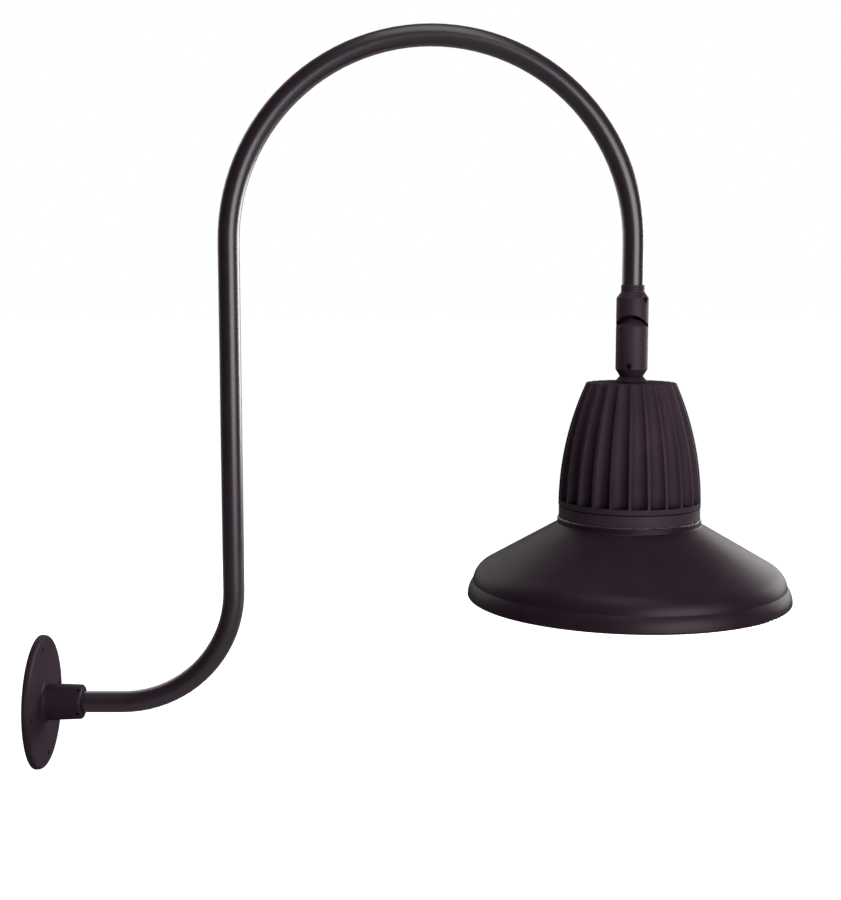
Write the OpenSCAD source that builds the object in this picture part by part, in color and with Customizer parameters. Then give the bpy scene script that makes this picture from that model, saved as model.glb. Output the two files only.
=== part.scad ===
// Gooseneck wall light with a finned head and a shallow spun shade.
// Origin: centre of the wall face. +X points away from the wall, +Z points up.
// All sizes are in millimetres.

/* [Arm] */
// Distance from the wall to the axis of the lamp head
arm_reach = 706; // [500:1:900]
// Distance from the wall to the axis of the upright
riser_x = 236; // [190:1:300]
// Height of the centre of the top arch over the plate centre
arch_z = 547; // [400:1:700]
// Centreline radius of the bend next to the wall
lower_bend_r = 136; // [90:1:170]
// Outside diameter of the arm tube
tube_d = 25.4; // [22:0.1:32]
// Wall of the arm tube
tube_wall = 2.4; // [1.6:0.1:4]
// Straight tube under the arch, down to the end inside the knuckle
drop_len = 77; // [60:1:140]

/* [Wall plate] */
// Outside diameter of the wall plate
plate_d = 160; // [140:1:200]
// Depth of the plate from the wall
plate_t = 7.2; // [6:0.1:14]
// Thickness of the plate wall
plate_wall = 3.4; // [2.5:0.1:4.5]
// Radius of the rounded rim of the plate
plate_round = 4.6; // [2:0.1:5]
// Circle through the four wall screw holes
hole_pcd = 130; // [118:1:140]
// Diameter of the wall screw holes
hole_d = 5.6; // [4.5:0.1:7]
// Turn of the wall screw holes from the upright
hole_turn = 4; // [0:1:45]
// Diameter of the tube hub at the plate
hub_d = 44; // [40:0.5:52]
// Diameter of the tube hub at its end
hub_end_d = 41.4; // [38:0.1:50]
// Distance from the wall to the end of the hub
hub_end_x = 53.4; // [45:0.1:80]
// Distance from the wall to the hub set screws
hub_screw_x = 49.4; // [38:0.1:70]
// Half the angle between the two hub set screws
hub_screw_turn = 42.5; // [25:0.5:60]
// Lift of the pair of hub set screws from the side of the hub
hub_screw_lift = 13.5; // [0:0.5:30]
// Diameter of the hub set screws
hub_grub_d = 4; // [3:0.5:6]

/* [Knuckle] */
// Diameter of both knuckle halves
knuckle_d = 37.4; // [34:0.1:46]
// Diameter of the collar of the upper half
collar_d = 27.2; // [26:0.1:32]
// Height of the collar of the upper half
collar_h = 8.1; // [4:0.1:14]
// Turn of the knuckle about the axis of the lamp head
knuckle_turn = -16; // [-180:1:180]
// Reach of each round lug past the pivot
lug_h = 16.8; // [14:0.1:17.5]
// Radius of the domed end of the lugs
lug_dome_r = 24; // [22:0.5:30]
// Greatest tilt of the head to either side
tilt_limit = 55; // [10:1:55]
// Distance from the pivot to the top of the upper half
upper_h = 55.9; // [52:0.1:70]
// Distance from the pivot to the underside of the lower half
lower_h = 50.1; // [48:0.1:70]
// Diameter of the pivot screw
pivot_d = 6; // [5:0.5:8]
// Diameter of the knuckle set screws
grub_d = 8; // [6:0.5:8]
// Turn of the upper set screw about the tube
upper_grub_turn = 316; // [270:1:350]
// Turn of the lower set screw about the stem
lower_grub_turn = 249; // [200:1:300]

/* [Heat sink] */
// Height of the finned casting without its neck
sink_h = 144.7; // [110:0.1:190]
// Radius over the fins at the widest level
sink_r = 83.4; // [75:0.1:95]
// Radius of the curved outline of the fins
sink_curve_r = 355; // [260:1:500]
// Height of the plain ring under the fins
sink_ring_h = 6; // [4:0.1:12]
// Number of fins
fins = 24; // [16:1:30]
// Turn of the fins about the head
fin_turn = 7.1; // [0:0.1:15]
// Radius of the scoop between two fins
scoop_r = 10; // [8:0.1:14]
// Depth of the scoop at the ring
scoop_deep = 6.9; // [4:0.1:9]
// Depth of the scoop at the top
scoop_shallow = 1.9; // [1:0.1:4]
// Distance from the fin tips to the wall of the driver space
bay_in = 12.5; // [11:0.5:20]

/* [Neck and lamp] */
// Radius of the neck ring that carries the shade
neck_r = 82.9; // [75:0.1:92]
// Height of the neck ring
neck_h = 14; // [12:0.1:18]
// Thickness of the seal between heat sink and neck ring
seal_t = 1.3; // [0.8:0.1:3]
// Radius of the lamp board
board_r = 46; // [36:0.5:50]
// Radius of the glass
glass_r = 67; // [60:0.5:72]
// Thickness of the glass
glass_t = 4; // [3:0.1:6]
// Circle radius of the screws that clamp the shade
ring_screw_r = 75; // [73:0.1:76]

/* [Shade] */
// Outside diameter of the shade
shade_d = 382; // [300:1:460]
// Sheet thickness of the shade
sheet_t = 1.5; // [1:0.1:2.5]
// Slope of the cone from the level
cone_slope = 30; // [20:0.5:38]
// Radius of the rounded shoulder under the cone
shoulder_r = 26; // [12:0.5:40]
// Height of the band under the shoulder
band_h = 18.2; // [12:0.1:26]
// Radius of the curve of the band
band_r = 28; // [24:0.5:50]
// Outer radius of the curl at the edge
curl_r = 2.4; // [2:0.1:4]
// Radius of the lip around the neck ring
lip_r = 84.6; // [84:0.1:90]

/* [Fits] */
// Radial clearance of the tube and the stem in their bores
slip = 0.1; // [0.05:0.01:0.3]
// Radial clearance drawn around screws in threaded holes
thread_gap = 0.05; // [0.02:0.01:0.2]
// Radial clearance of the pivot screw in the upper half
pivot_gap = 0.08; // [0.03:0.01:0.1]
// Gap between the faces of the knuckle halves
face_gap = 0.4; // [0.3:0.05:0.8]
// Radial clearance of screws in through holes
screw_gap = 0.4; // [0.2:0.05:1]

/* [Hidden] */
$fn = 96;
big = 400;
bronze = [0.20, 0.16, 0.18];
steel = [0.62, 0.62, 0.64];
dark = [0.08, 0.08, 0.08];

tube_r = tube_d/2;
tube_bore_r = tube_r - tube_wall;
arch_r = (arm_reach - riser_x)/2;
plate_r = plate_d/2;
gasket_t = plate_t - plate_wall;
rim_w = 6;
socket_x = plate_t + 3.4;
hub_fillet = 5;
hub_round = 3.8;
screw_boss_r = 7;
wire_r = 8.5;

knuckle_r = knuckle_d/2;
collar_r = collar_d/2;
z_tube_end = arch_z - drop_len;
z_pivot = z_tube_end - 27.2;
hollow_r = knuckle_r/cos(tilt_limit/2 + 2);
z_upper_top = z_pivot + upper_h;
z_low = z_pivot - lower_h;
upper_cone_h = 7;
lower_cone_h = 8.2;
lug_cone_z = 7.7;
lug_cone_k = 1;
groove_w = 0.6;
groove_deep = 0.35;
cup_r = 10.5;
cup_y = 11;
spot_y = 14.5;
pivot_r = pivot_d/2;
washer_r = 6;
washer_t = 1.2;
washer_gap = 0.1;
grub_r = grub_d/2;
grub_sink = 2;
stem_r = 10.5;
upper_grub_len = knuckle_r - tube_r - slip - grub_sink;
lower_grub_len = knuckle_r - stem_r - slip - grub_sink;
hub_grub_len = hub_end_d/2 - tube_r - slip - grub_sink;
z_upper_grub = z_upper_top - collar_h - upper_cone_h - 1.6;
z_lower_grub = z_low + lower_cone_h + 3.6;

stem_bore_r = 7.6;
stem_top = z_low + 24;
z_sink_top = z_low - 7.7;
z_sink_bot = z_sink_top - sink_h;
z_bay_top = z_sink_top - 13;
boss_r = 7.5;
boss_h = 30;
sink_cone_h = 5.9;
nut_t = 6;
nut_af = 27;

curve_c = sink_r - sink_curve_r;
curve_z = z_sink_bot - 0.7;
scoop_out_low = scoop_r - scoop_deep;
scoop_out_top = scoop_r - scoop_shallow;
rise_sin = (z_sink_top - curve_z)/sink_curve_r;
scoop_shift = (scoop_out_top - scoop_out_low)/rise_sin;
scoop_path_r = sink_curve_r + scoop_out_low;
scoop_a0 = asin((z_sink_bot + sink_ring_h - curve_z - scoop_shift)/scoop_path_r);
scoop_a1 = 26.5;

z_neck_top = z_sink_bot - seal_t;
z_seat = z_neck_top - neck_h;
neck_floor = 5.6;
z_floor = z_neck_top - neck_floor;
recess_r = 71;
neck_screw_r = 64;
neck_screw_len = neck_floor + seal_t + 9;
m5 = 2.5;
m4 = 2;
pad_t = 0.6;
board_t = 1.6;
z_board = z_floor - pad_t - board_t;
board_screw_r = 41;
driver_w = 84;
driver_b = 60;
driver_h = 36;
tab_w = 104;
tab_b = 24;
tab_t = 2.4;
driver_screw_x = 47;

z_flange = z_seat - sheet_t;
flange_in_r = 66;
ring_h = 10;
z_ring = z_flange - ring_h;
ring_out_r = 79.6;
ledge_t = 2;
ledge_r = 62.5;
gasket_out_r = 70;
gasket_lip_r = 64;
z_gasket = z_ring + ledge_t;
ring_screw_turn = 30;
gasket_h = ring_h - ledge_t;
z_glass = z_gasket + (gasket_h - glass_t)/2;

shade_r = shade_d/2;
lip_round = 1;
lip_fillet = 2.5;
slope_t = tan(cone_slope);
line_z = z_seat - 5.7;
line_r = lip_r - 1.6;
notch_r = shade_r - 6.1;
shoulder_end = 85;
shoulder_cr = notch_r - shoulder_r*sin(shoulder_end);
cone_end_r = shoulder_cr + shoulder_r*sin(cone_slope);
cone_end_z = line_z - (cone_end_r - line_r)*slope_t;
shoulder_cz = cone_end_z - shoulder_r*cos(cone_slope);
notch_z = shoulder_cz + shoulder_r*cos(shoulder_end);
band_c = shade_r - band_r;
band_z = notch_z - sqrt(pow(band_r, 2) - pow(notch_r + 0.6 - band_c, 2));
curl_z = notch_z - band_h + curl_r;
curl_c = shade_r - curl_r;
lap = 0.01;
fillet_z = line_z - (lip_r + lip_fillet - line_r)*slope_t + lip_fillet/cos(cone_slope);

// Turns a drawing of radius and depth so that its axis runs along +X.
module along_x() {
    rotate([90, 0, 90]) rotate_extrude() children();
}

// Puts children on the axis of the lamp head.
module at_head() {
    translate([arm_reach, 0, 0]) children();
}

module ring_of(n, r, turn = 0) {
    for (i = [0:n - 1])
        rotate([0, 0, turn + i*360/n])
            translate([r, 0, 0])
                children();
}

// The four wall screw holes, as pins along X.
module wall_holes(r, x0, x1) {
    for (i = [0:3])
        rotate([hole_turn + 90*i, 0, 0])
            translate([x0, 0, hole_pcd/2])
                rotate([0, 90, 0])
                    cylinder(r = r, h = x1 - x0, $fn = 48);
}

module wall_gasket() {
    color(dark)
    difference() {
        rotate([0, 90, 0]) cylinder(r = plate_r - rim_w - 0.2, h = gasket_t);
        translate([-1, 0, 0]) rotate([0, 90, 0]) cylinder(r = 50, h = gasket_t + 2);
        wall_holes(screw_boss_r + 0.2, -1, gasket_t + 1);
    }
}

// Half outline of the wall plate: radius across, distance from the wall upward.
module plate_outline() {
    difference() {
        union() {
            square([plate_r - plate_round, plate_t]);
            square([plate_r, plate_t - plate_round]);
            intersection() {
                translate([plate_r - plate_round, plate_t - plate_round]) circle(r = plate_round);
                translate([plate_r - plate_round, plate_t - plate_round])
                    square([plate_round, plate_round]);
            }
            hub_outline();
        }
        translate([0, -1]) square([plate_r - rim_w, gasket_t + 1]);
    }
}

module hub_outline() {
    r0 = hub_d/2;
    r1 = hub_end_d/2;
    xs = hub_end_x - hub_round;
    polygon([[0, 0], [r0, 0], [r0, plate_t + hub_fillet], [r1, xs], [0, xs]]);
    translate([0, xs - 0.01]) square([r1 - hub_round, hub_round + 0.01]);
    intersection() {
        translate([r1 - hub_round, xs]) circle(r = hub_round);
        translate([r1 - hub_round - 0.01, xs - 0.01]) square([hub_round + 0.01, hub_round + 0.01]);
    }
    difference() {
        translate([r0 - 0.5, plate_t - 0.5]) square([hub_fillet + 0.5, hub_fillet + 0.5]);
        translate([r0 + hub_fillet, plate_t + hub_fillet]) circle(r = hub_fillet);
    }
}

module wall_plate() {
    color(bronze)
    difference() {
        union() {
            along_x() plate_outline();
            intersection() {
                wall_holes(screw_boss_r, 0, plate_t - 1);
                along_x() square([plate_r - 5, plate_t - 1]);
            }
        }
        translate([socket_x, 0, 0]) rotate([0, 90, 0]) cylinder(r = tube_r + slip, h = big/4);
        translate([-1, 0, 0]) rotate([0, 90, 0]) cylinder(r = wire_r, h = big/4);
        wall_holes(hole_d/2, -1, plate_t + 1);
        hub_grub_places() grub_hole(hub_grub_d/2, 12);
    }
}

// Set screw seats of the hub, with Z pointing out of the tube.
module hub_grub_places() {
    for (s = [-1, 1])
        translate([hub_screw_x, 0, 0])
            rotate([90 - hub_screw_lift + s*hub_screw_turn, 0, 0])
                translate([0, 0, tube_r + slip])
                    children();
}

module grub_hole(r, h) {
    translate([0, 0, -1]) cylinder(r = r + thread_gap, h = h + 1, $fn = 48);
}

// Set screw with a hexagon socket, tip down.
module grub(r, len) {
    tip = r/4;
    difference() {
        union() {
            cylinder(r1 = r - tip, r2 = r, h = tip, $fn = 48);
            translate([0, 0, tip]) cylinder(r = r, h = len - tip, $fn = 48);
        }
        translate([0, 0, len*0.4]) cylinder(r = r*0.58, h = len, $fn = 6);
    }
}

module hub_set_screws() {
    color(dark) hub_grub_places() grub(hub_grub_d/2, hub_grub_len);
}

// Straight tube along +Z.
module pipe(h) {
    linear_extrude(height = h)
        difference() {
            circle(r = tube_r);
            circle(r = tube_bore_r);
        }
}

// Bent tube, starting at the origin along +Z and turning to +X.
module bend(r, a) {
    translate([r, 0, 0])
        rotate([90, 0, 0])
            rotate([0, 0, 180 - a])
                rotate_extrude(angle = a)
                    translate([r, 0])
                        difference() {
                            circle(r = tube_r);
                            circle(r = tube_bore_r);
                        }
}

module arm_tube() {
    color(bronze) {
        translate([socket_x + 0.2, 0, 0])
            rotate([0, 90, 0])
                pipe(riser_x - lower_bend_r - socket_x - 0.2);
        translate([riser_x, 0, lower_bend_r])
            mirror([1, 0, 0])
                mirror([0, 0, 1])
                    bend(lower_bend_r, 90);
        translate([riser_x, 0, lower_bend_r]) pipe(arch_z - lower_bend_r);
        translate([riser_x, 0, arch_z]) bend(arch_r, 180);
        translate([arm_reach, 0, z_tube_end]) pipe(arch_z - z_tube_end);
    }
}

// Turned outline shared by both halves, from the pivot level out to a chamfered end.
module half_body(h, cone_h) {
    cylinder(r = knuckle_r, h = h - cone_h);
    translate([0, 0, h - cone_h]) cylinder(r1 = knuckle_r, r2 = collar_r, h = cone_h);
}

// Puts a knuckle part on the pivot, turned with the knuckle.
module at_pivot() {
    translate([arm_reach, 0, z_pivot]) rotate([0, 0, knuckle_turn]) children();
}

// One half of the knuckle with the pivot at the origin: domed lug on the +Y side,
// hollow for the other lug on the -Y side, body towards +Z.
module knuckle_half(h, cone_h) {
    g = face_gap/2;
    k_r = knuckle_r - (lug_h - lug_cone_z)*lug_cone_k;
    difference() {
        union() {
            half_body(h, cone_h);
            intersection() {
                union() {
                    translate([0, 0, -lug_cone_z]) cylinder(r = knuckle_r, h = lug_cone_z + 1);
                    translate([0, 0, -lug_h])
                        cylinder(r1 = k_r, r2 = knuckle_r, h = lug_h - lug_cone_z);
                }
                translate([0, 50, lug_dome_r - lug_h])
                    rotate([90, 0, 0])
                        cylinder(r = lug_dome_r, h = 100);
            }
        }
        translate([0, g, 0]) rotate([90, 0, 0]) cylinder(r = hollow_r, h = 100);
        translate([-50, g - 100, -50]) cube([100, 100, 50]);
        translate([0, cup_y, 0]) rotate([90, 0, 0]) cylinder(r = cup_r, h = 100);
    }
}

module upper_knuckle() {
    color(bronze)
    at_pivot()
    difference() {
        union() {
            knuckle_half(upper_h - collar_h, upper_cone_h);
            translate([0, 0, upper_h - collar_h]) cylinder(r = collar_r, h = collar_h);
        }
        collar_groove(2.9);
        collar_groove(5.3);
        translate([0, 0, z_tube_end - z_pivot - 0.2]) cylinder(r = tube_r + slip, h = 60);
        translate([0, 0, 2]) cylinder(r = wire_r, h = 60);
        translate([0, spot_y, 0]) rotate([-90, 0, 0]) cylinder(r = washer_r + 0.5, h = 20);
        rotate([-90, 0, 0]) cylinder(r = pivot_r + pivot_gap, h = 40, $fn = 48);
        translate([0, 0, z_upper_grub - z_pivot])
            rotate([0, 0, upper_grub_turn - knuckle_turn])
                rotate([0, 90, 0])
                    translate([0, 0, tube_r])
                        grub_hole(grub_r, 12);
    }
}

// Fine groove round the collar, at a depth from its top.
module collar_groove(depth) {
    translate([0, 0, upper_h - depth - groove_w/2])
        difference() {
            cylinder(r = collar_r + 1, h = groove_w);
            translate([0, 0, -1]) cylinder(r = collar_r - groove_deep, h = groove_w + 2);
        }
}

module upper_set_screw() {
    color(dark)
    at_head() translate([0, 0, z_upper_grub])
        rotate([0, 0, upper_grub_turn])
            rotate([0, 90, 0])
                translate([0, 0, tube_r + slip])
                    grub(grub_r, upper_grub_len);
}

module lower_knuckle() {
    color(bronze)
    at_pivot()
    difference() {
        rotate([180, 0, 0]) knuckle_half(lower_h, lower_cone_h);
        translate([0, 0, -lower_h - 1]) cylinder(r = stem_r + slip, h = stem_top - z_low + 1.3);
        translate([0, 0, -lower_h]) cylinder(r = stem_bore_r, h = lower_h - 2);
        translate([0, -16.6, 0]) rotate([-90, 0, 0])
            cylinder(r = pivot_r + thread_gap, h = 20, $fn = 48);
        translate([0, 0, z_lower_grub - z_pivot])
            rotate([0, 0, lower_grub_turn - knuckle_turn])
                rotate([0, 90, 0])
                    translate([0, 0, stem_r])
                        grub_hole(grub_r, 14);
    }
}

module lower_set_screw() {
    color(dark)
    at_head() translate([0, 0, z_lower_grub])
        rotate([0, 0, lower_grub_turn])
            rotate([0, 90, 0])
                translate([0, 0, stem_r + slip])
                    grub(grub_r, lower_grub_len);
}

module pivot_screw() {
    y0 = spot_y + washer_gap + washer_t;
    color(dark)
    at_pivot()
    difference() {
        union() {
            translate([0, -16.2, 0]) rotate([-90, 0, 0])
                cylinder(r = pivot_r, h = y0 + 16.2, $fn = 48);
            translate([0, y0, 0]) rotate([-90, 0, 0]) cylinder(r = 5, h = 2.9);
        }
        translate([0, y0 + 1, 0]) rotate([-90, 0, 0]) cylinder(r = 2.3, h = 5, $fn = 6);
    }
}

module pivot_washer() {
    color(steel)
    at_pivot() translate([0, spot_y + washer_gap, 0])
        rotate([-90, 0, 0])
            difference() {
                cylinder(r = washer_r, h = washer_t);
                translate([0, 0, -1]) cylinder(r = pivot_r + screw_gap/2, h = washer_t + 2);
            }
}

// Threaded pipe stem that hangs the heat sink from the knuckle.
module stem() {
    color(steel)
    at_head()
    difference() {
        translate([0, 0, z_bay_top - nut_t - 3])
            cylinder(r = stem_r, h = stem_top - z_bay_top + nut_t + 3);
        translate([0, 0, z_bay_top - 40]) cylinder(r = stem_bore_r, h = 120);
    }
}

module stem_nut() {
    color(steel)
    at_head() translate([0, 0, z_bay_top - nut_t])
        difference() {
            intersection() {
                cylinder(r = nut_af/sqrt(3), h = nut_t, $fn = 6);
                cylinder(r = nut_af/2 + 1.2, h = nut_t);
            }
            translate([0, 0, -1]) cylinder(r = stem_r + thread_gap, h = nut_t + 2);
        }
}

// Half outline of the heat sink over the fins.
module sink_outline() {
    intersection() {
        translate([curve_c, curve_z]) circle(r = sink_curve_r);
        translate([0, z_sink_bot]) square([sink_r + 1, sink_h]);
    }
    polygon([[0, z_sink_top - 1], [knuckle_r, z_sink_top - 1],
        [knuckle_r, z_low - sink_cone_h], [collar_r, z_low - 0.05], [0, z_low - 0.05]]);
}

// Round-bottomed channel between two fins, following the outline and getting
// shallower towards the top.
module scoop() {
    translate([curve_c, 0, curve_z + scoop_shift])
        rotate([90, 0, 0])
            rotate([0, 0, scoop_a0])
                rotate_extrude(angle = scoop_a1 - scoop_a0)
                    translate([scoop_path_r, 0])
                        circle(r = scoop_r);
}

// Space for the power supply, with four screw bosses left standing in it.
module driver_bay() {
    difference() {
        rotate_extrude()
            intersection() {
                translate([curve_c, curve_z]) circle(r = sink_curve_r - bay_in);
                translate([0, z_sink_bot - 1]) square([sink_r, z_bay_top - z_sink_bot + 1]);
            }
        ring_of(4, neck_screw_r, 45)
            translate([0, 0, z_sink_bot - 2]) cylinder(r = boss_r, h = boss_h + 2, $fn = 48);
    }
}

module heat_sink() {
    color(bronze)
    at_head()
    difference() {
        rotate_extrude() sink_outline();
        ring_of(fins, 0, fin_turn + 180/fins) scoop();
        driver_bay();
        translate([0, 0, z_bay_top - 1]) cylinder(r = stem_r + thread_gap, h = 60);
        ring_of(4, neck_screw_r, 45)
            translate([0, 0, z_sink_bot - 1])
                cylinder(r = m5 + thread_gap, h = 15, $fn = 48);
    }
}

module sink_seal() {
    color(dark)
    at_head() translate([0, 0, z_neck_top])
        difference() {
            cylinder(r = neck_r - 1.6, h = seal_t);
            translate([0, 0, -1]) cylinder(r = neck_r - 10, h = seal_t + 2);
        }
}

// Ring and floor under the heat sink: carries the lamp board and the shade.
module neck_ring() {
    color(bronze)
    at_head()
    difference() {
        translate([0, 0, z_seat]) cylinder(r = neck_r, h = neck_h);
        translate([0, 0, z_seat - 1]) cylinder(r = recess_r, h = neck_h - neck_floor + 1);
        translate([0, 0, z_floor - 1]) cylinder(r = 6, h = neck_floor + 2);
        ring_of(4, neck_screw_r, 45)
            translate([0, 0, z_floor - 1])
                cylinder(r = m5 + screw_gap, h = neck_floor + 2, $fn = 48);
        ring_of(6, ring_screw_r, ring_screw_turn)
            translate([0, 0, z_seat - 1]) cylinder(r = m4 + thread_gap, h = 9, $fn = 48);
        ring_of(2, driver_screw_x, 0)
            translate([0, 0, z_neck_top - 4.4]) cylinder(r = 1.5 + thread_gap, h = 10, $fn = 48);
        ring_of(3, board_screw_r, 90)
            translate([0, 0, z_floor - 1]) cylinder(r = 1.5 + thread_gap, h = 5.4, $fn = 48);
    }
}

// Pan head screw pointing up, seat of the head at the origin.
module pan_screw(r, len, head_r, head_h) {
    difference() {
        union() {
            translate([0, 0, -0.01]) cylinder(r = r, h = len, $fn = 48);
            translate([0, 0, -head_h]) cylinder(r = head_r, h = head_h, $fn = 48);
        }
        translate([0, 0, -head_h - 1]) cylinder(r = head_r*0.42, h = head_h*0.6 + 1, $fn = 6);
    }
}

module neck_screws() {
    color(steel)
    at_head() ring_of(4, neck_screw_r, 45)
        translate([0, 0, z_floor]) pan_screw(m5, neck_screw_len, 4.4, 3.4);
}

// Sealed power supply on the floor of the neck ring.
module driver() {
    color([0.75, 0.75, 0.76])
    at_head() translate([0, 0, z_neck_top])
    difference() {
        union() {
            translate([-driver_w/2, -driver_b/2, 0]) cube([driver_w, driver_b, driver_h]);
            translate([-tab_w/2, -tab_b/2, 0]) cube([tab_w, tab_b, tab_t]);
        }
        for (s = [-1, 1])
            translate([s*driver_screw_x, 0, -1]) cylinder(r = 1.5 + screw_gap, h = 10, $fn = 48);
        translate([0, 0, -1]) cylinder(r = 9, h = 9);
    }
}

module driver_screws() {
    color(steel)
    at_head() ring_of(2, driver_screw_x, 0)
        translate([0, 0, z_neck_top + tab_t]) mirror([0, 0, 1]) pan_screw(1.5, 6, 2.8, 2);
}

module thermal_pad() {
    color([0.7, 0.7, 0.72])
    at_head() translate([0, 0, z_floor - pad_t])
        board_blank(board_r - 0.5, pad_t, 1.5 + screw_gap);
}

module board_blank(r, h, hole) {
    difference() {
        cylinder(r = r, h = h);
        translate([0, 0, -1]) cylinder(r = 6, h = h + 2);
        ring_of(3, board_screw_r, 90)
            translate([0, 0, -1]) cylinder(r = hole, h = h + 2, $fn = 48);
    }
}

module lamp_board() {
    color([0.92, 0.92, 0.92])
    at_head() translate([0, 0, z_board]) board_blank(board_r, board_t, 1.5 + screw_gap/2);
}

// Light-emitting packages in two rings.
module lamp_chips() {
    color([0.95, 0.85, 0.35])
    at_head() translate([0, 0, z_board - 0.8]) {
        ring_of(12, 31, 15) translate([-2.5, -2.5, 0]) cube([5, 5, 0.8]);
        ring_of(6, 17, 0) translate([-2.5, -2.5, 0]) cube([5, 5, 0.8]);
    }
}

module board_screws() {
    color(steel)
    at_head() ring_of(3, board_screw_r, 90)
        translate([0, 0, z_board]) pan_screw(1.5, 6, 2.8, 1.6);
}

// Everything under one face of the shade sheet, down to the level bottom.
// The outer face has inset 0, the inner face has the sheet thickness as inset.
module shade_face(inset, top, bottom) {
    s = sin(cone_slope);
    c = cos(cone_slope);
    drop = (inset + lap)/c;
    col_r = lip_r - inset;
    end_r = shoulder_cr + (shoulder_r - inset)*s;
    x0 = lip_r + lip_fillet - (lip_fillet + inset + 0.5)*s;
    y0 = fillet_z - (lip_fillet + inset + 0.5)*c;
    difference() {
        union() {
            translate([0, 0, bottom]) cylinder(r = col_r, h = top - bottom);
            rotate_extrude()
                polygon([[col_r - 1, bottom],
                    [col_r - 1, line_z - drop - (col_r - 1 - line_r)*slope_t],
                    [end_r, line_z - drop - (end_r - line_r)*slope_t],
                    [end_r, bottom]]);
            rotate_extrude()
                polygon([[col_r - 1, fillet_z], [lip_r + lip_fillet, fillet_z],
                    [x0, y0], [col_r - 1, y0]]);
        }
        rotate_extrude()
            translate([lip_r + lip_fillet, fillet_z])
                circle(r = lip_fillet + inset + lap);
    }
    intersection() {
        union() {
            rotate_extrude()
                translate([shoulder_cr, shoulder_cz]) circle(r = shoulder_r - inset);
            rotate_extrude() translate([band_c, band_z]) circle(r = band_r - inset);
        }
        translate([0, 0, bottom]) cylinder(r = shade_r + 1, h = z_seat - bottom);
    }
}

// Curled edge of the shade, open on top.
module shade_curl() {
    difference() {
        union() {
            intersection() {
                rotate_extrude() translate([curl_c, curl_z]) circle(r = curl_r);
                translate([0, 0, curl_z - 5]) cylinder(r = shade_r + 1, h = 5);
            }
            rotate_extrude() translate([shade_r - sheet_t - 0.1, curl_z - 0.5])
                square([sheet_t + 0.085, 1]);
        }
        rotate_extrude() translate([curl_c, curl_z]) circle(r = curl_r - sheet_t);
    }
}

// Spun sheet: a level flange on top, a lip, a cone, a rounded shoulder, a
// convex band and a curled edge.
module shade() {
    color(bronze)
    at_head() {
        difference() {
            union() {
                shade_face(0, z_seat - lip_round, curl_z);
                translate([0, 0, z_flange - 2])
                    cylinder(r = lip_r - lip_round, h = sheet_t + 2);
                rotate_extrude()
                    translate([lip_r - lip_round, z_seat - lip_round]) circle(r = lip_round);
            }
            shade_face(sheet_t, z_flange, curl_z - 1);
            translate([0, 0, curl_z]) cylinder(r = flange_in_r, h = big);
            ring_of(6, ring_screw_r, ring_screw_turn)
                translate([0, 0, z_flange - 1]) cylinder(r = m4 + screw_gap, h = 5, $fn = 48);
        }
        shade_curl();
    }
}

module glass() {
    color([0.9, 0.95, 0.95, 0.6])
    at_head() translate([0, 0, z_glass]) cylinder(r = glass_r, h = glass_t);
}

module glass_gasket() {
    color([0.85, 0.85, 0.85])
    at_head()
    difference() {
        translate([0, 0, z_gasket]) cylinder(r = gasket_out_r - slip, h = gasket_h);
        translate([0, 0, z_gasket - 1]) cylinder(r = gasket_lip_r, h = gasket_h + 2);
        translate([0, 0, z_glass]) cylinder(r = glass_r + slip, h = glass_t);
    }
}

module glass_ring() {
    color(bronze)
    at_head()
    difference() {
        translate([0, 0, z_ring]) cylinder(r = ring_out_r, h = ring_h);
        translate([0, 0, z_ring - 1]) cylinder(r = ledge_r, h = ring_h + 2);
        translate([0, 0, z_gasket]) cylinder(r = gasket_out_r, h = ring_h);
        ring_of(6, ring_screw_r, ring_screw_turn)
            translate([0, 0, z_ring - 1]) cylinder(r = m4 + screw_gap, h = ring_h + 2, $fn = 48);
    }
}

module ring_screws() {
    color(steel)
    at_head() ring_of(6, ring_screw_r, ring_screw_turn)
        translate([0, 0, z_ring]) pan_screw(m4, ring_h + sheet_t + 6, 3.6, 2.6);
}

wall_gasket();
wall_plate();
hub_set_screws();
arm_tube();
upper_knuckle();
upper_set_screw();
lower_knuckle();
lower_set_screw();
pivot_screw();
pivot_washer();
stem();
stem_nut();
heat_sink();
sink_seal();
neck_ring();
neck_screws();
driver();
driver_screws();
thermal_pad();
lamp_board();
lamp_chips();
board_screws();
shade();
glass();
glass_gasket();
glass_ring();
ring_screws();
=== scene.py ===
"""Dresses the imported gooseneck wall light: powder coat, castings, glass, small parts and a white studio."""

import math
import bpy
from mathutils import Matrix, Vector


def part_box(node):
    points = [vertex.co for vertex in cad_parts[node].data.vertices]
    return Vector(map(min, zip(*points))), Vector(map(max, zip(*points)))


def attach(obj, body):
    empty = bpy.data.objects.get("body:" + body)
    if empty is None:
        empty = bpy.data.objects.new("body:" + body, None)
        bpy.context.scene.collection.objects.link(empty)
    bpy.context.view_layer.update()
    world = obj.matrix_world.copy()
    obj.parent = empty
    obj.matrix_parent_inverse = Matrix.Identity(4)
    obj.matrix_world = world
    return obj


bl_info = {
    "name": "Gooseneck Wall Light",
    "version": (1, 0, 0),
    "blender": (4, 5, 0),
    "location": "View3D > Sidebar > Wall Light",
    "description": "Finishes the gooseneck wall light and sets up its studio",
    "category": "Object",
}

import bmesh
import bpy
from bpy.props import FloatProperty, FloatVectorProperty, IntProperty, PointerProperty
from mathutils import Vector, noise

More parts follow.
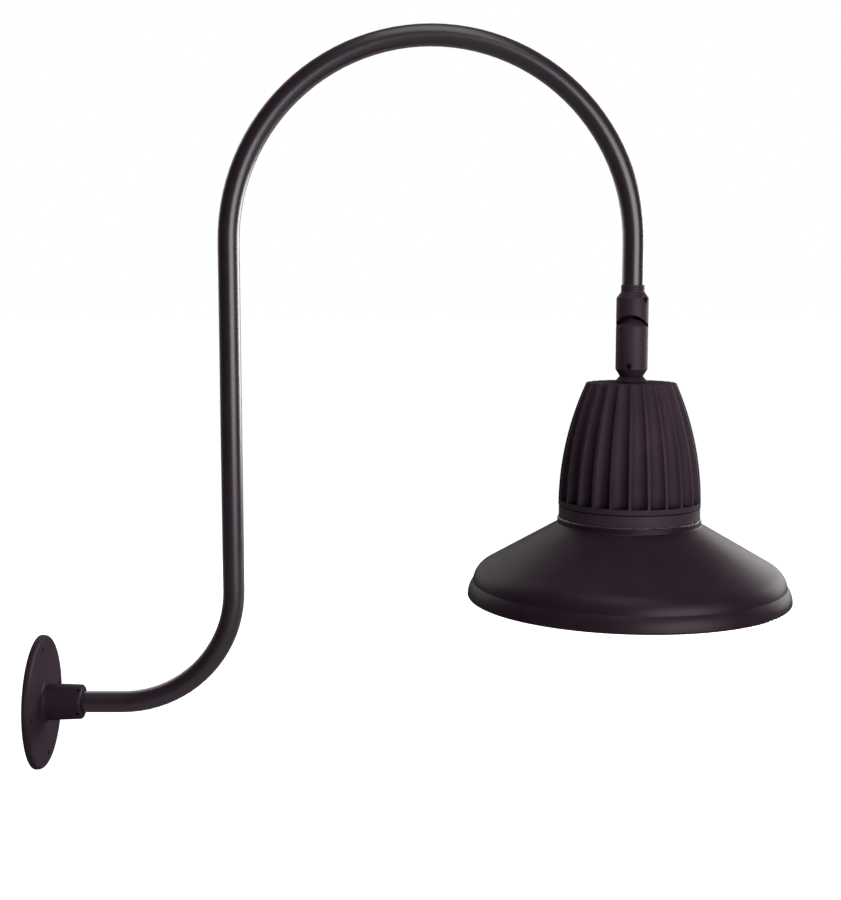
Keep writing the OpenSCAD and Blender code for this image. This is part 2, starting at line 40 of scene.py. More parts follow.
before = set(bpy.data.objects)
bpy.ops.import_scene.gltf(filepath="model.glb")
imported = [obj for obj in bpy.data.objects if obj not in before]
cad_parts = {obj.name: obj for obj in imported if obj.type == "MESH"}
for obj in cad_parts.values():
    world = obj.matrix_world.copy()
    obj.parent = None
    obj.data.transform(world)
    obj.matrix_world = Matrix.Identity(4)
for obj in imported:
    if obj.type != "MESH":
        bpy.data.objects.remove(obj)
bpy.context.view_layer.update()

# X of the upright axis that the round pieces of the head share
HEAD_AXIS = sum((c.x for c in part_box("glass")), 0.0) / 2

# Limits that noise values are stretched from: the first pair holds nearly all values, the narrower ones
# give more contrast, and the last is for the cells of the foam
NOISE_RANGE = (0.3, 0.7)
TONE_RANGE = (0.36, 0.64)
WEAR_RANGE = (0.35, 0.65)
PORE_RANGE = (0.0, 0.6)

# Share of the broad mottling in tone and in roughness; the fine flecks have the rest
CLOUD_IN_TONE = 0.5
CLOUD_IN_GLOSS = 0.6

# Spacing and depth of the sand casting's second, finer grain as a share of the first
FINE_GRAIN = 0.35

# Cosines of a rounded normal's turn: at the first a face has no edge wear, at the second it has all
CORNER_TURN = (0.99, 0.80)

# Open share of the sky over a face, for the shade painted into holes and channels: at the first a face is
# deep in a recess and fully darkened, at the second it is open
HOLLOW_SKY = (0.45, 0.97)

BEVEL_SAMPLES = 6
SKY_SAMPLES = 8

# Upward lean of the direction that tells the shade's outer face from its inner one, and how soft the
# change between them is
OUTER_LEAN = 0.6
OUTER_CHANGE = 0.05

# Scale of the noise round the unit circle, for the bead's slow and quick changes of width and for its height,
# which is read in another place so that it changes on its own
BEAD_SLOW, BEAD_QUICK, BEAD_RISE = 9.0, 60.0, 31.0
BEAD_RISE_PLACE = Vector((0, 0, 5))

# Bead half width as shares of its thickness: the mean, the least, and how far slow and quick changes go
BEAD_MEAN, BEAD_LEAST = 0.62, 0.12
BEAD_SLOW_REACH, BEAD_QUICK_REACH = 0.9, 1.1

# Height of the bead's middle: a share of its half width, and how far it wanders as a share of the thickness
BEAD_LIFT, BEAD_WANDER = 0.35, 0.5

# Points that the lamps face
ARM_MIDDLE = (0.45, 0.0, 0.35)
SHADE_MIDDLE = (0.706, 0.0, 0.18)

# Name, setting with the power, place, point that it faces, width and height in metres
LAMPS = (
    ("key_lamp", "key_power", (1.71, -2.02, 0.68), ARM_MIDDLE, 1.8, 1.5),
    ("top_lamp", "top_power", (0.55, -0.75, 2.30), ARM_MIDDLE, 1.0, 2.0),
    ("rim_lamp", "rim_power", (1.97, 1.31, 0.50), SHADE_MIDDLE, 1.3, 0.9),
    ("back_lamp", "back_power", (-0.45, 1.84, 0.98), SHADE_MIDDLE, 2.0, 1.6),
)

WHITE = (1, 1, 1, 1)

# Limits between which reflections change from the dim room to the bright backdrop: of the direction along Y
# for the world, and in metres behind the light for the floor
WORLD_BACKDROP = (-0.1, 0.5)
FLOOR_BACKDROP = (0.3, 1.6)

# Floor: half its width, the spot under the light, and the distances from that spot between which the
# floor's glow rises to white
FLOOR_HALF = 40.0
FLOOR_MIDDLE = (0.45, 0.0)
FLOOR_FADE = (0.7, 2.2)

SENSOR_WIDTH = 36.0


class WallLightFinish(bpy.types.PropertyGroup):
    """Colours and finishes of the light."""

    coat: FloatVectorProperty(
        name="Powder coat", description="Colour of the outer powder coat",
        subtype="COLOR", size=3, min=0, max=1, default=(0.0135, 0.0065, 0.0112))
    cast: FloatVectorProperty(
        name="Coat on castings", description="Colour of the duller powder coat on the cast pieces",
        subtype="COLOR", size=3, min=0, max=1, default=(0.0250, 0.0140, 0.0215))
    # Painted shade: the wall plate is coated in a darker copy of the castings' colour, which holds down the
    # lamps' light on it
    plate_shade_tone: FloatProperty(
        name="Plate tone", description="Tone of the wall plate as a share of the castings' colour",
        subtype="FACTOR", min=0, max=1, default=0.6)
    coat_light: FloatVectorProperty(
        name="Thin coat", description="Colour of the thin, worn coat on corners",
        subtype="COLOR", size=3, min=0, max=1, default=(0.034, 0.021, 0.030))
    coat_gloss: FloatProperty(
        name="Coat roughness", description="Mean roughness of the smooth powder coat",
        subtype="FACTOR", min=0, max=1, default=0.34)
    sheen: FloatProperty(
        name="Coat shine", description="Weight of the clear, shining top of the powder coat",
        subtype="FACTOR", min=0, max=1, default=0.085)
    coat_index: FloatProperty(
        name="Coat index", description="Refractive index of the clear top, high so that edges stay dark",
        min=1, max=4, default=2.2)
    cast_gloss: FloatProperty(
        name="Casting roughness", description="Mean roughness of the sand-textured casting",
        subtype="FACTOR", min=0, max=1, default=0.62)
    inside: FloatVectorProperty(
        name="Shade inside", description="Colour of the reflecting inner face of the shade",
        subtype="COLOR", size=3, min=0, max=1, default=(0.70, 0.70, 0.68))
    peel: FloatProperty(
        name="Orange peel", description="Spacing of the soft ripples in the coat",
        subtype="DISTANCE", min=0.0002, max=0.01, default=0.0022)
    grain: FloatProperty(
        name="Casting grain", description="Spacing of the grain on the sand casting",
        subtype="DISTANCE", min=0.0002, max=0.01, default=0.0012)
    mottle: FloatProperty(
        name="Mottling", description="Spacing of the broad, soft mottling of the coat",
        subtype="DISTANCE", min=0.005, max=0.5, default=0.045)
    fleck: FloatProperty(
        name="Flecks", description="Spacing of the fine flecks of the coat",
        subtype="DISTANCE", min=0.0002, max=0.01, default=0.0011)
    dark_tone: FloatProperty(
        name="Dark tone", description="Darkest mottling as a share of the coat's colour",
        min=0, max=2, default=0.80)
    light_tone: FloatProperty(
        name="Light tone", description="Lightest mottling as a share of the coat's colour",
        min=0, max=2, default=1.22)
    # Painted shade: the tone that holes and channels darken to, as a share of the coat's colour
    hollow_shade_tone: FloatProperty(
        name="Hollow tone", description="Tone deep in holes and channels as a share of the coat's colour",
        min=0, max=1, default=0.06)
    corner: FloatProperty(
        name="Corner rounding", description="Radius that sharp corners seem to have in the light",
        subtype="DISTANCE", min=0, max=0.002, default=0.0004)
    wear: FloatProperty(
        name="Wear width", description="Width of the worn strip along corners",
        subtype="DISTANCE", min=0, max=0.005, default=0.0007)
    wear_patch: FloatProperty(
        name="Wear patches", description="Spacing of the patches in which the wear comes and goes",
        subtype="DISTANCE", min=0.001, max=0.1, default=0.006)
    wear_least: FloatProperty(
        name="Least wear", description="Strength of the wear between the patches",
        subtype="FACTOR", min=0, max=1, default=0.2)


class WallLightBead(bpy.types.PropertyGroup):
    """The thin bead of sealant between neck ring and shade."""

    radius: FloatProperty(
        name="Bead radius", description="Radius of the bead round the neck ring",
        subtype="DISTANCE", min=0.07, max=0.1, default=0.0833)
    thickness: FloatProperty(
        name="Bead thickness", description="Half width of the bead",
        subtype="DISTANCE", min=0.0002, max=0.002, default=0.0007)
    ragged: FloatProperty(
        name="Raggedness", description="How far the bead's width and height wander",
        subtype="FACTOR", min=0, max=1, default=0.75)
    steps: IntProperty(
        name="Steps", description="Number of cross-sections round the bead",
        min=12, max=4000, default=720)
    sides: IntProperty(
        name="Sides", description="Number of corners of each cross-section",
        min=3, max=32, default=6)


class WallLightStudio(bpy.types.PropertyGroup):
    """Camera, floor and lamps."""

    lens: FloatProperty(
        name="Lens", description="Focal length of the camera",
        subtype="DISTANCE_CAMERA", min=10, max=200, default=56.0)
    pitch: FloatProperty(
        name="Camera pitch", description="How far the camera looks down",
        subtype="ANGLE", min=0, max=1.5, default=math.radians(6.65))
    distance: FloatProperty(
        name="Camera distance", description="From the camera to the point it looks at",
        subtype="DISTANCE", min=0.5, max=6, default=1.652)
    target: FloatVectorProperty(
        name="Camera target", description="Point that the camera looks at",
        subtype="TRANSLATION", size=3, default=(0.4588, 0.0, 0.3053))
    floor_level: FloatProperty(
        name="Floor level", description="Height of the floor under the wall face's centre",
        subtype="DISTANCE", min=-2, max=0, default=-0.30)
    floor_tone: FloatProperty(
        name="Floor tone", description="How much of the lamps' light the floor throws back",
        subtype="FACTOR", min=0, max=1, default=0.33)
    floor_glow: FloatProperty(
        name="Floor glow", description="Brightness that the floor adds where the shadow falls",
        subtype="FACTOR", min=0, max=1, default=0.84)
    key_power: FloatProperty(
        name="Key lamp", description="Power of the large soft lamp at the front right",
        subtype="POWER", min=0, max=500, default=72.0)
    top_power: FloatProperty(
        name="Top lamp", description="Power of the large soft lamp overhead",
        subtype="POWER", min=0, max=500, default=24.0)
    rim_power: FloatProperty(
        name="Rim lamp", description="Power of the lamp behind the shade at the right",
        subtype="POWER", min=0, max=500, default=92.0)
    back_power: FloatProperty(
        name="Back lamp", description="Power of the wide, dim lamp high behind the light at the left",
        subtype="POWER", min=0, max=500, default=46.0)
    fill: FloatProperty(
        name="Fill", description="Level of the even light from all round",
        subtype="FACTOR", min=0, max=1, default=0.05)
    backdrop: FloatProperty(
        name="Backdrop", description="How bright the backdrop behind the light looks in reflections",
        subtype="FACTOR", min=0, max=1, default=0.65)
    room: FloatProperty(
        name="Room", description="How bright the room in front of the backdrop looks in reflections",
        subtype="FACTOR", min=0, max=1, default=0.06)


class WallLightSettings(bpy.types.PropertyGroup):
    """All settings of the wall light."""

    finish: PointerProperty(name="Finish", description="Colours and finishes", type=WallLightFinish)
    bead: PointerProperty(name="Bead", description="Sealant bead under the neck ring", type=WallLightBead)
    studio: PointerProperty(name="Studio", description="Camera, floor and lamps", type=WallLightStudio)


def settings():
    """The settings of the open scene."""
    return bpy.context.scene.wall_light


class Nodes:
    """The node tree of a material or world, emptied, with short calls for the nodes used here."""

    def __init__(self, owner):
        owner.use_nodes = True
        self.tree = owner.node_tree
        self.tree.nodes.clear()
        self.place = self.add("ShaderNodeTexCoord")

    def add(self, kind, **values):
        """New node with its own properties set."""
        made = self.tree.nodes.new(kind)
        for key, value in values.items():
            setattr(made, key, value)
        return made

    def join(self, start, end):
        self.tree.links.new(start, end)

    def fill(self, socket, value):
        """Joins a socket to another, or writes a plain value on it."""
        if isinstance(value, bpy.types.NodeSocket):
            self.join(value, socket)
        else:
            socket.default_value = value

    def calc(self, kind, *values):
        """Arithmetic on sockets and numbers."""
        made = self.add("ShaderNodeMath", operation=kind)
        for socket, value in zip(made.inputs, values):
            self.fill(socket, value)
        return made.outputs[0]

    def vector(self, kind, *values, out="Vector"):
        """Arithmetic on sockets and triples of numbers."""
        made = self.add("ShaderNodeVectorMath", operation=kind)
        for socket, value in zip(made.inputs, values):
            self.fill(socket, value)
        return made.outputs[out]

    def span(self, value, low, high, to_low, to_high, smooth=False):
        """Carries a value from one range to another and holds it there, with soft ends if smooth."""
        made = self.add("ShaderNodeMapRange")
        if smooth:
            made.interpolation_type = "SMOOTHSTEP"
        self.fill(made.inputs["Value"], value)
        limits = (("From Min", low), ("From Max", high), ("To Min", to_low), ("To Max", to_high))
        for key, number in limits:
            made.inputs[key].default_value = number
        return made.outputs["Result"]


class Recipe(Nodes):
    """A material with one Principled shader, and the textures and masks of the finishes."""

    def __init__(self, name):
        self.material = bpy.data.materials.new(name)
        super().__init__(self.material)
        self.shader = self.add("ShaderNodeBsdfPrincipled")
        output = self.add("ShaderNodeOutputMaterial")
        self.join(self.shader.outputs[0], output.inputs["Surface"])

    def noise(self, spacing, detail=3.0, rough=0.55, stretch=None):
        """Noise with features about spacing metres apart."""
        made = self.add("ShaderNodeTexNoise")
        for key, number in (("Scale", 1.0 / spacing), ("Detail", detail), ("Roughness", rough)):
            made.inputs[key].default_value = number
        where = self.place.outputs["Object"]
        if stretch:
            mapping = self.add("ShaderNodeMapping")
            mapping.inputs["Scale"].default_value = stretch
            self.join(where, mapping.inputs["Vector"])
            where = mapping.outputs[0]
        self.join(where, made.inputs["Vector"])
        return made.outputs["Fac"]

    def cells(self, spacing):
        """Distance to the nearest of points about spacing metres apart."""
        made = self.add("ShaderNodeTexVoronoi")
        made.inputs["Scale"].default_value = 1.0 / spacing
        self.join(self.place.outputs["Object"], made.inputs["Vector"])
        return made.outputs["Distance"]

    def weigh(self, a, b, share):
        """Mean of two values in which a has the given share."""
        return self.calc("ADD", self.calc("MULTIPLY", a, share), self.calc("MULTIPLY", b, 1.0 - share))

    def blend(self, factor, a, b):
        """Mix of two colours, each a socket or three numbers."""
        made = self.add("ShaderNodeMix", data_type="RGBA")
        self.fill(made.inputs["Factor"], factor)
        # The node has a pair of inputs for each type of data; 6 and 7 are the colours, and so is output 2
        for socket, value in ((made.inputs[6], a), (made.inputs[7], b)):
            self.fill(socket, value if isinstance(value, bpy.types.NodeSocket) else (*value, 1.0))
        return made.outputs[2]

    def bump(self, height, depth, under=None):
        """Bump of a height from 0 to 1 that stands for depth metres."""
        made = self.add("ShaderNodeBump")
        made.inputs["Strength"].default_value = 1.0
        made.inputs["Distance"].default_value = depth
        self.join(height, made.inputs["Height"])
        if under is not None:
            self.join(under, made.inputs["Normal"])
        return made.outputs[0]

    def rounded(self, width):
        """Normal that turns softly round a sharp corner."""
        soft = self.add("ShaderNodeBevel", samples=BEVEL_SAMPLES)
        soft.inputs["Radius"].default_value = width
        return soft.outputs[0]

    def edges(self, width):
        """About 1 on corners within width metres and 0 on flat or evenly curved faces."""
        here = self.add("ShaderNodeNewGeometry")
        turn = self.vector("DOT_PRODUCT", self.rounded(width), here.outputs["Normal"], out="Value")
        return self.span(turn, *CORNER_TURN, 0.0, 1.0)

    def hollow_shade_mask(self, reach):
        """Mask of painted shade from ambient occlusion: 1 deep in holes and channels, 0 on open faces."""
        sky = self.add("ShaderNodeAmbientOcclusion", samples=SKY_SAMPLES)
        sky.inputs["Distance"].default_value = reach
        return self.span(sky.outputs["AO"], *HOLLOW_SKY, 1.0, 0.0)

    def finish(self, **sockets):
        """Fills the shader's sockets, named like base_color, and gives the material."""
        for name, value in sockets.items():
            key = name.replace("_", " ").title().replace("Ior", "IOR")
            self.fill(self.shader.inputs[key], value)
        return self.material


def tinted(colour, share):
    return [c * share for c in colour]


def powder_coat(name, paint, spacing, depth, roughness, spread, shine, rim=0.5, sand=False, cover=None,
                hollow_shade_reach=None):
    """Dark bronze powder coat: soft mottling, fine flecks, ripples and thinner, lighter corners.

    Spacing and depth are those of the ripples, spread is how far the roughness wanders, shine the share of
    the clear top and rim the strength of the edge wear. Sand adds a second, finer grain. Shade is painted
    into holes and channels, darkening over the reach in metres given last. The mask that cover makes has the
    white of the shade's inside.
    """
    look = settings().finish
    r = Recipe(name)
    cloud = r.noise(look.mottle, detail=2.0)
    fleck = r.noise(look.fleck, detail=2.0, rough=0.7)
    tone = r.span(r.weigh(cloud, fleck, CLOUD_IN_TONE), *TONE_RANGE, 0.0, 1.0)
    colour = r.blend(tone, tinted(paint, look.dark_tone), tinted(paint, look.light_tone))
    patches = r.span(r.noise(look.wear_patch), *WEAR_RANGE, look.wear_least, 1.0)
    wear = r.calc("MULTIPLY", r.edges(look.wear), patches)
    colour = r.blend(r.calc("MULTIPLY", wear, rim), colour, look.coat_light)
    # Painted shade: deep in holes and channels the colour darkens towards the tone set for it
    if hollow_shade_reach:
        colour = r.blend(r.hollow_shade_mask(hollow_shade_reach), colour, tinted(paint, look.hollow_shade_tone))
    if cover:
        colour = r.blend(cover(r), colour, look.inside)
    gloss = r.span(r.weigh(cloud, fleck, CLOUD_IN_GLOSS), *NOISE_RANGE,
                   roughness - spread, roughness + spread)
    corner = r.rounded(look.corner)
    if sand:
        coarse = r.bump(r.noise(spacing, detail=3.0, rough=0.65), depth, corner)
        fine = r.noise(spacing * FINE_GRAIN, detail=2.0, rough=0.8)
        normal = r.bump(fine, depth * FINE_GRAIN, coarse)
    else:
        normal = r.bump(r.noise(spacing, detail=1.5, rough=0.45), depth, corner)
    return r.finish(base_color=colour, roughness=gloss, normal=normal, specular_ior_level=0.0,
                    coat_weight=look.sheen * shine, coat_roughness=roughness, coat_ior=look.coat_index,
                    coat_normal=normal)


def mottled(name, dark, light, gloss, spacing, depth, detail=3.0, rough=0.55, stretch=None, ripple=None,
            **sockets):
    """Plain finish: one noise drives colour and roughness, and also the bump unless ripple is given.

    Dark and light are colours, gloss the least and greatest roughness, spacing that of the noise, depth that
    of the bump and ripple the spacing of a bump of its own.
    """
    r = Recipe(name)
    tone = r.noise(spacing, detail, rough, stretch)
    height = r.noise(ripple) if ripple else tone
    return r.finish(base_color=r.blend(tone, dark, light), roughness=r.span(tone, *NOISE_RANGE, *gloss),
                    normal=r.bump(height, depth), **sockets)


def dress(material, *names):
    """Puts one material on all the slots of CAD nodes."""
    for name in names:
        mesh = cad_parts[name].data
        if not mesh.materials:
            mesh.materials.append(material)
        for i in range(len(mesh.materials)):
            mesh.materials[i] = material


class WallLightOperator:
    """What all steps share: execute makes the step with the scene's settings."""

    bl_options = {"REGISTER", "UNDO"}

    def execute(self, context):
        self.make(settings())
        return {"FINISHED"}


class WALL_LIGHT_OT_arm(WallLightOperator, bpy.types.Operator):
    """Coat the bent arm tube in satin bronze"""

    bl_idname = "wall_light.arm"
    bl_label = "Arm Tube"

    def make(self, s):
        look = s.finish
        dress(powder_coat("coat_tube", look.coat, spacing=look.peel * 1.6, depth=0.00002,
                          roughness=look.coat_gloss - 0.02, spread=0.05, shine=3.0),
              "arm_tube")


class WALL_LIGHT_OT_castings(WallLightOperator, bpy.types.Operator):
    """Coat the wall plate, the knuckle halves, the neck ring and the glass ring"""

    bl_idname = "wall_light.castings"
    bl_label = "Castings"

    def make(self, s):
        look = s.finish
        # Painted shade darkens the holes, the seams and the gap in the knuckle
        dress(powder_coat("coat_cast", look.cast, spacing=look.peel, depth=0.00004,
                          roughness=look.coat_gloss + 0.18, spread=0.06, shine=0.8, rim=0.8,
                          hollow_shade_reach=0.004),
              "upper_knuckle", "lower_knuckle", "neck_ring", "glass_ring")
        # Painted shade: the wall plate takes a darker copy of the castings' coat, which holds down the lamps'
        # light on it; shade is also painted into its holes
        dress(powder_coat("coat_plate", tinted(look.cast, look.plate_shade_tone), spacing=look.peel,
                          depth=0.00004, roughness=look.coat_gloss + 0.12, spread=0.06, shine=0.45, rim=0.8,
                          hollow_shade_reach=0.006),
              "wall_plate")


class WALL_LIGHT_OT_heat_sink(WallLightOperator, bpy.types.Operator):
    """Coat the finned casting in a matt, sandy bronze"""

    bl_idname = "wall_light.heat_sink"
    bl_label = "Heat Sink"

    def make(self, s):
        look = s.finish
        # Painted shade darkens the channels between the fins
        dress(powder_coat("coat_sand", look.cast, spacing=look.grain, depth=0.00022,
                          roughness=look.cast_gloss, spread=0.08, shine=0.55, rim=0.9, sand=True,
                          hollow_shade_reach=0.015),
              "heat_sink")


class WALL_LIGHT_OT_shade(WallLightOperator, bpy.types.Operator):
    """Coat the spun shade: bronze outside, white inside"""

    bl_idname = "wall_light.shade"
    bl_label = "Shade"

    def make(self, s):
        look = s.finish
        # Painted shade darkens the notch and the other folds of the sheet
        dress(powder_coat("coat_shade", look.coat, spacing=look.peel * 1.4, depth=0.000015,
                          roughness=look.coat_gloss + 0.06, spread=0.05, shine=0.72, hollow_shade_reach=0.014,
                          cover=self.inner_side),
              "shade")

    @staticmethod
    def inner_side(r):
        """1 on the faces of the sheet that look inward or down, 0 on the outer face."""
        spot = r.vector("SUBTRACT", r.place.outputs["Object"], (HEAD_AXIS, 0.0, 0.0))
        outward = r.vector("NORMALIZE", r.vector("MULTIPLY", spot, (1.0, 1.0, 0.0)))
        lifted = r.vector("ADD", outward, (0.0, 0.0, OUTER_LEAN))
        here = r.add("ShaderNodeNewGeometry")
        own = r.add("ShaderNodeVectorTransform", vector_type="NORMAL",
                    convert_from="WORLD", convert_to="OBJECT")
        r.join(here.outputs["True Normal"], own.inputs[0])
        facing = r.vector("DOT_PRODUCT", own.outputs[0], lifted, out="Value")
        return r.span(facing, OUTER_CHANGE, -OUTER_CHANGE, 0.0, 1.0)


class WALL_LIGHT_OT_bead(WallLightOperator, bpy.types.Operator):
    """Lay the ragged bead of sealant between the neck ring and the shade"""

    bl_idname = "wall_light.bead"
    bl_label = "Sealant Bead"

    def make(self, s):
        bead = s.bead
        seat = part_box("neck_ring")[0].z
        mesh = bmesh.new()
        loops = [self.loop(mesh, bead, seat, math.tau * i / bead.steps) for i in range(bead.steps)]
        for i, here in enumerate(loops):
            ahead = loops[(i + 1) % bead.steps]
            for k in range(bead.sides):
                n = (k + 1) % bead.sides
                mesh.faces.new((here[k], here[n], ahead[n], ahead[k]))
        bmesh.ops.recalc_face_normals(mesh, faces=mesh.faces)
        for face in mesh.faces:
            face.smooth = True
        data = bpy.data.meshes.new("sealant_bead")
        mesh.to_mesh(data)
        mesh.free()
        piece = bpy.data.objects.new("sealant_bead", data)
        bpy.context.scene.collection.objects.link(piece)
        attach(piece, "head")
        data.materials.append(mottled(
            "sealant", dark=(0.030, 0.023, 0.027), light=(0.060, 0.049, 0.055), gloss=(0.35, 0.5),
            spacing=0.0015, depth=0.00005, ripple=0.0005))

    @staticmethod
    def loop(mesh, bead, seat, turn):
        """One cross-section of the bead, turn radians round the head, as a list of new vertices."""
        out = Vector((math.cos(turn), math.sin(turn), 0.0))
        slow = noise.noise(out * BEAD_SLOW)
        quick = noise.noise(out * BEAD_QUICK)
        change = bead.ragged * (BEAD_SLOW_REACH * slow + BEAD_QUICK_REACH * quick)
        half = max(bead.thickness * (BEAD_MEAN + change), bead.thickness * BEAD_LEAST)
        rise = noise.noise(out * BEAD_RISE + BEAD_RISE_PLACE)
        lift = half * BEAD_LIFT + bead.thickness * bead.ragged * BEAD_WANDER * rise
        middle = Vector((HEAD_AXIS, 0.0, seat + lift)) + out * bead.radius
        corners = []
        for k in range(bead.sides):
            a = math.tau * k / bead.sides
            corners.append(mesh.verts.new(middle + half * (math.cos(a) * out + Vector((0, 0, math.sin(a))))))
        return corners


class WALL_LIGHT_OT_hardware(WallLightOperator, bpy.types.Operator):
    """Finish the screws, the stem and its nut"""

    bl_idname = "wall_light.hardware"
    bl_label = "Screws and Stem"

    def make(self, s):
        dress(mottled("black_oxide", dark=(0.004, 0.0036, 0.004), light=(0.012, 0.0105, 0.0115),
                      gloss=(0.45, 0.62), spacing=0.0012, depth=0.00003, specular_ior_level=0.15),
              "hub_set_screws", "upper_set_screw", "lower_set_screw", "pivot_screw")
        dress(mottled("zinc_plate", dark=(0.42, 0.43, 0.45), light=(0.62, 0.62, 0.60), gloss=(0.24, 0.40),
                      spacing=0.004, depth=0.00001, detail=4.0, ripple=0.0006, metallic=1.0),
              "pivot_washer", "stem", "stem_nut",
              "neck_screws", "driver_screws", "board_screws", "ring_screws")


class WALL_LIGHT_OT_seals(WallLightOperator, bpy.types.Operator):
    """Finish the foam gasket, the seal, the glass gasket and the heat pad"""

    bl_idname = "wall_light.seals"
    bl_label = "Seals"

    def make(self, s):
        r = Recipe("foam_rubber")
        pores = r.cells(spacing=0.0011)
        dress(r.finish(base_color=r.blend(pores, (0.002, 0.002, 0.002), (0.009, 0.008, 0.009)),
                       roughness=r.span(pores, *PORE_RANGE, 0.95, 0.8),
                       normal=r.bump(pores, depth=0.00025), specular_ior_level=0.05),
              "wall_gasket", "sink_seal")
        dress(mottled("white_silicone", dark=(0.70, 0.70, 0.69), light=(0.80, 0.80, 0.79),
                      gloss=(0.42, 0.6), spacing=0.006, depth=0.00004, ripple=0.002),
              "glass_gasket")
        dress(mottled("heat_pad", dark=(0.30, 0.31, 0.34), light=(0.42, 0.43, 0.46),
                      gloss=(0.7, 0.9), spacing=0.0008, depth=0.00006),
              "thermal_pad")


class WALL_LIGHT_OT_lamp(WallLightOperator, bpy.types.Operator):
    """Finish the power supply, the lamp board and its light-emitting packages"""

    bl_idname = "wall_light.lamp"
    bl_label = "Lamp Board"

    def make(self, s):
        dress(mottled("driver_case", dark=(0.52, 0.53, 0.55), light=(0.66, 0.66, 0.67), gloss=(0.32, 0.46),
                      spacing=0.0009, depth=0.00002, rough=0.6, stretch=(0.04, 1.0, 1.0), metallic=1.0),
              "driver")
        dress(mottled("solder_mask", dark=(0.76, 0.77, 0.76), light=(0.84, 0.84, 0.83),
                      gloss=(0.35, 0.5), spacing=0.003, depth=0.00003, ripple=0.0015),
              "lamp_board")
        dress(mottled("phosphor", dark=(0.72, 0.52, 0.10), light=(0.85, 0.68, 0.20),
                      gloss=(0.3, 0.5), spacing=0.0007, depth=0.00003),
              "lamp_chips")


class WALL_LIGHT_OT_glass(WallLightOperator, bpy.types.Operator):
    """Finish the frosted glass under the lamp board"""

    bl_idname = "wall_light.glass"
    bl_label = "Glass"

    def make(self, s):
        dress(mottled("frosted_glass", dark=(0.86, 0.90, 0.89), light=(0.93, 0.95, 0.95), gloss=(0.34, 0.44),
                      spacing=0.02, depth=0.00003, detail=2.0, ripple=0.0012, transmission_weight=0.92),
              "glass")


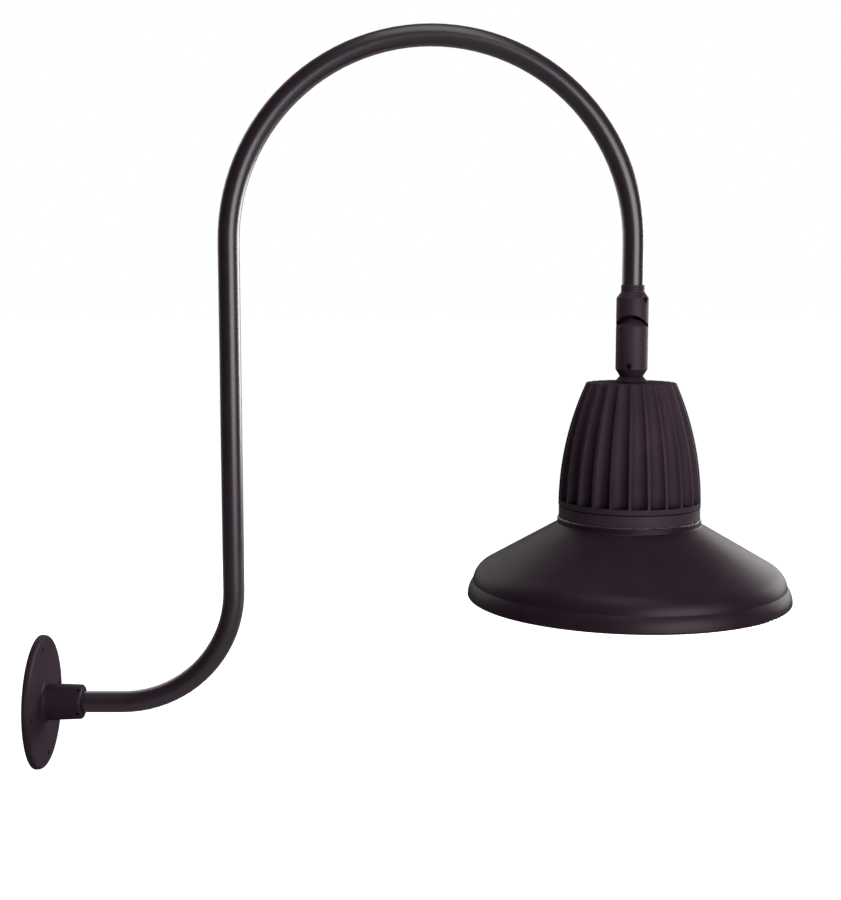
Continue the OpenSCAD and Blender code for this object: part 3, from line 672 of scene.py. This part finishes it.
class WALL_LIGHT_OT_stage(WallLightOperator, bpy.types.Operator):
    """Set up the white studio, the lamps and the camera"""

    bl_idname = "wall_light.stage"
    bl_label = "Studio"

    def make(self, s):
        bpy.context.scene.view_settings.view_transform = "Standard"
        self.world(s.studio)
        self.floor(s.studio)
        for row in LAMPS:
            self.lamp(s.studio, *row)
        self.camera(s.studio)

    @staticmethod
    def seen(nodes, across, limits, s):
        """White to camera and transmission rays; bright behind the light and dim in front in reflections."""
        path = nodes.add("ShaderNodeLightPath")
        level = nodes.span(across, *limits, s.room, s.backdrop, smooth=True)
        mirrored = nodes.calc("MULTIPLY", path.outputs["Is Glossy Ray"], level)
        shown = nodes.calc("MAXIMUM", path.outputs["Is Camera Ray"], path.outputs["Is Transmission Ray"])
        return nodes.calc("MAXIMUM", mirrored, shown)

    def world(self, s):
        """White to the camera, a backdrop and a dimmer room in reflections, and an even fill."""
        world = bpy.data.worlds.new("white_studio")
        bpy.context.scene.world = world
        nodes = Nodes(world)
        split = nodes.add("ShaderNodeSeparateXYZ")
        nodes.join(nodes.place.outputs["Generated"], split.inputs[0])
        level = nodes.calc("MAXIMUM", self.seen(nodes, split.outputs["Y"], WORLD_BACKDROP, s), s.fill)
        light = nodes.add("ShaderNodeBackground")
        nodes.fill(light.inputs["Color"], WHITE)
        nodes.fill(light.inputs["Strength"], level)
        out = nodes.add("ShaderNodeOutputWorld")
        nodes.join(light.outputs[0], out.inputs["Surface"])

    def floor(self, s):
        """Pale floor with a soft shadow, white away from the object and clear from below."""
        mesh = bpy.data.meshes.new("floor")
        signs = ((-1, -1), (1, -1), (1, 1), (-1, 1))
        corners = [(x * FLOOR_HALF, y * FLOOR_HALF, s.floor_level) for x, y in signs]
        mesh.from_pydata(corners, [], [(0, 1, 2, 3)])
        floor = bpy.data.objects.new("floor", mesh)
        bpy.context.scene.collection.objects.link(floor)
        mesh.materials.append(self.floor_material(s))

    def floor_material(self, s):
        """Matt floor with a glow that whitens it; the lamps' light and the shadow come on top."""
        material = bpy.data.materials.new("pale_floor")
        nodes = Nodes(material)
        matt = nodes.add("ShaderNodeBsdfDiffuse")
        nodes.fill(matt.inputs["Color"], (s.floor_tone, s.floor_tone, s.floor_tone, 1))
        here = nodes.place.outputs["Object"]
        split = nodes.add("ShaderNodeSeparateXYZ")
        nodes.join(here, split.inputs[0])
        away = nodes.vector("DISTANCE", here, (*FLOOR_MIDDLE, s.floor_level), out="Value")
        level = nodes.calc("MULTIPLY", nodes.span(away, *FLOOR_FADE, s.floor_glow, 1.0, smooth=True),
                           self.seen(nodes, split.outputs["Y"], FLOOR_BACKDROP, s))
        glow = nodes.add("ShaderNodeEmission")
        nodes.fill(glow.inputs["Color"], WHITE)
        nodes.fill(glow.inputs["Strength"], level)
        both = nodes.add("ShaderNodeAddShader")
        nodes.join(matt.outputs[0], both.inputs[0])
        nodes.join(glow.outputs[0], both.inputs[1])
        under = nodes.add("ShaderNodeNewGeometry")
        clear = nodes.add("ShaderNodeBsdfTransparent")
        side = nodes.add("ShaderNodeMixShader")
        nodes.join(under.outputs["Backfacing"], side.inputs[0])
        nodes.join(both.outputs[0], side.inputs[1])
        nodes.join(clear.outputs[0], side.inputs[2])
        out = nodes.add("ShaderNodeOutputMaterial")
        nodes.join(side.outputs[0], out.inputs["Surface"])
        return material

    @staticmethod
    def lamp(s, name, power, place, aim, width, height):
        """Soft square-cornered lamp that the camera doesn't see."""
        data = bpy.data.lights.new(name, "AREA")
        data.shape = "RECTANGLE"
        data.size, data.size_y = width, height
        data.energy = getattr(s, power)
        lamp = bpy.data.objects.new(name, data)
        lamp.location = place
        lamp.rotation_mode = "QUATERNION"
        lamp.rotation_quaternion = (Vector(place) - Vector(aim)).to_track_quat("Z", "Y")
        lamp.visible_camera = False
        bpy.context.scene.collection.objects.link(lamp)

    @staticmethod
    def camera(s):
        """Camera square to the arm's plane, looking a little down."""
        data = bpy.data.cameras.new("camera")
        data.lens = s.lens
        data.sensor_width = SENSOR_WIDTH
        data.sensor_fit = "AUTO"
        camera = bpy.data.objects.new("camera", data)
        back = Vector((0.0, -math.cos(s.pitch), math.sin(s.pitch)))
        camera.location = Vector(s.target) + back * s.distance
        camera.rotation_mode = "QUATERNION"
        camera.rotation_quaternion = back.to_track_quat("Z", "Y")
        bpy.context.scene.collection.objects.link(camera)
        bpy.context.scene.camera = camera


OPERATORS = (
    WALL_LIGHT_OT_arm,
    WALL_LIGHT_OT_castings,
    WALL_LIGHT_OT_heat_sink,
    WALL_LIGHT_OT_shade,
    WALL_LIGHT_OT_bead,
    WALL_LIGHT_OT_hardware,
    WALL_LIGHT_OT_seals,
    WALL_LIGHT_OT_lamp,
    WALL_LIGHT_OT_glass,
    WALL_LIGHT_OT_stage,
)


class VIEW3D_PT_wall_light(bpy.types.Panel):
    """Buttons for all steps, and the settings under them"""

    bl_label = "Wall Light"
    bl_space_type = "VIEW_3D"
    bl_region_type = "UI"
    bl_category = "Wall Light"

    def draw(self, context):
        column = self.layout.column()
        for operator in OPERATORS:
            column.operator(operator.bl_idname)
        for group in (settings().finish, settings().bead, settings().studio):
            box = self.layout.box()
            for key in group.__annotations__:
                box.prop(group, key)


CLASSES = (
    WallLightFinish, WallLightBead, WallLightStudio, WallLightSettings, *OPERATORS, VIEW3D_PT_wall_light,
)


def register():
    for item in CLASSES:
        bpy.utils.register_class(item)
    bpy.types.Scene.wall_light = PointerProperty(type=WallLightSettings)


def unregister():
    del bpy.types.Scene.wall_light
    for item in reversed(CLASSES):
        bpy.utils.unregister_class(item)


def main():
    register()
    for operator in OPERATORS:
        group, name = operator.bl_idname.split(".")
        getattr(getattr(bpy.ops, group), name)()


if __name__ == "__main__":
    main()
